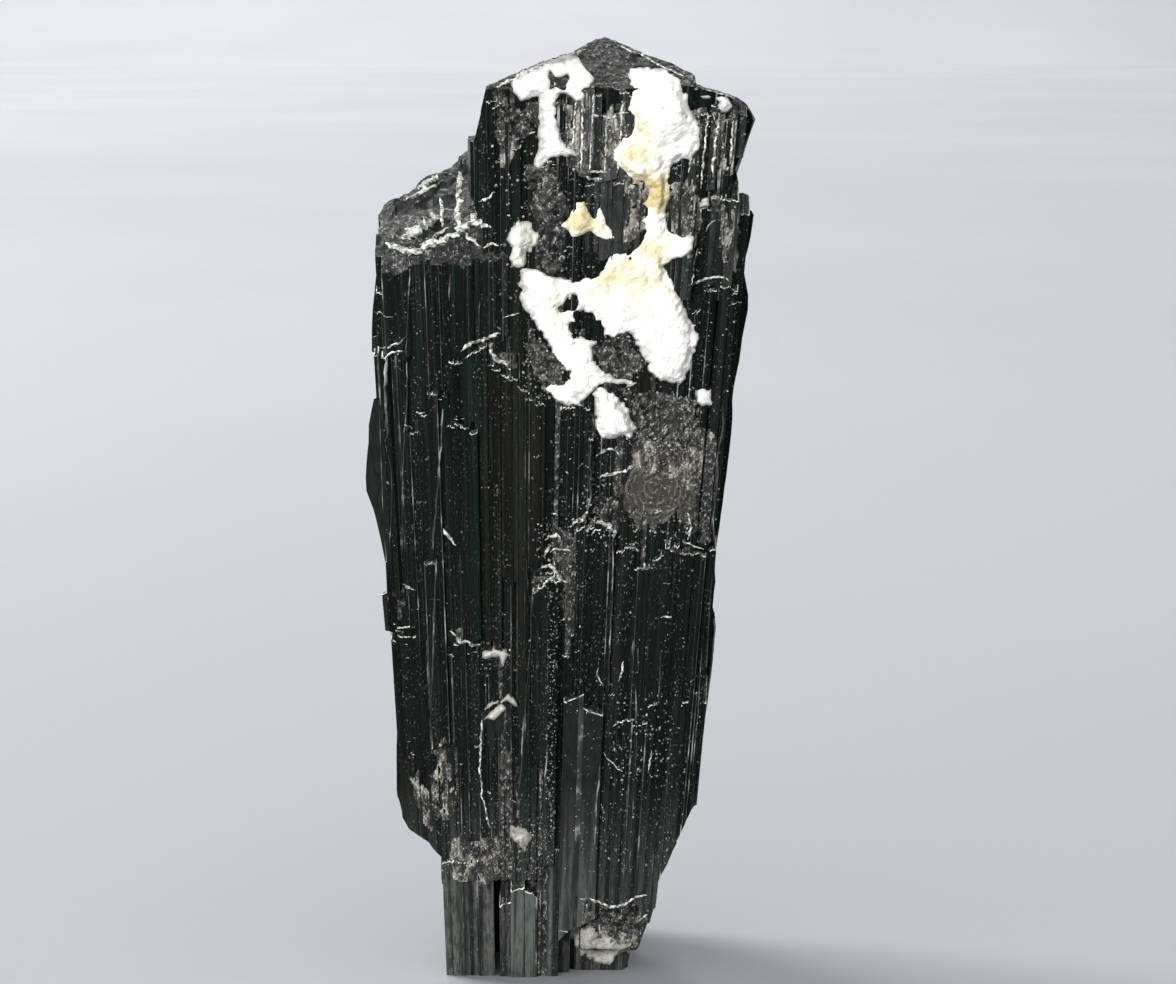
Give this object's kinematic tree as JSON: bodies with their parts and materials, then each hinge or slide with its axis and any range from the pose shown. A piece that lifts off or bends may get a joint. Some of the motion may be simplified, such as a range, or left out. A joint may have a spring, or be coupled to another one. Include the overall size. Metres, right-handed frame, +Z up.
{
  "type": "tourmaline crystal specimen",
  "caption": "Upright striated black tourmaline crystal cluster with stepped ends, white feldspar crusts on its front and a flat cut foot it stands on.",
  "frame": {"origin": "on the flat cut foot that the crystal stands on, under the crystal's long axis", "axes": "+Z up along the crystal, -Y towards the front that carries the feldspar, +X to the right seen from the front"},
  "size_m": [0.0208, 0.0154, 0.05],
  "materials": {
    "tourmaline": "glassy black, striated, matte where broken",
    "feldspar": "white, granular, matte",
    "stained_feldspar": "cream to yellowish, granular, matte"
  },
  "bodies": {
    "root": {"tourmaline_crystal": "tourmaline", "feldspar_crust": "feldspar", "feldspar_cap": "feldspar", "feldspar_nugget": "feldspar", "feldspar_pebble": "feldspar", "feldspar_patch": "stained_feldspar", "feldspar_grain_top": "feldspar", "feldspar_grain_upper": "feldspar", "feldspar_grain_lower": "feldspar", "feldspar_speck_middle": "feldspar", "feldspar_crust_low": "feldspar", "feldspar_crust_belt": "feldspar", "feldspar_crust_foot": "feldspar"}
  },
  "joints": []
}
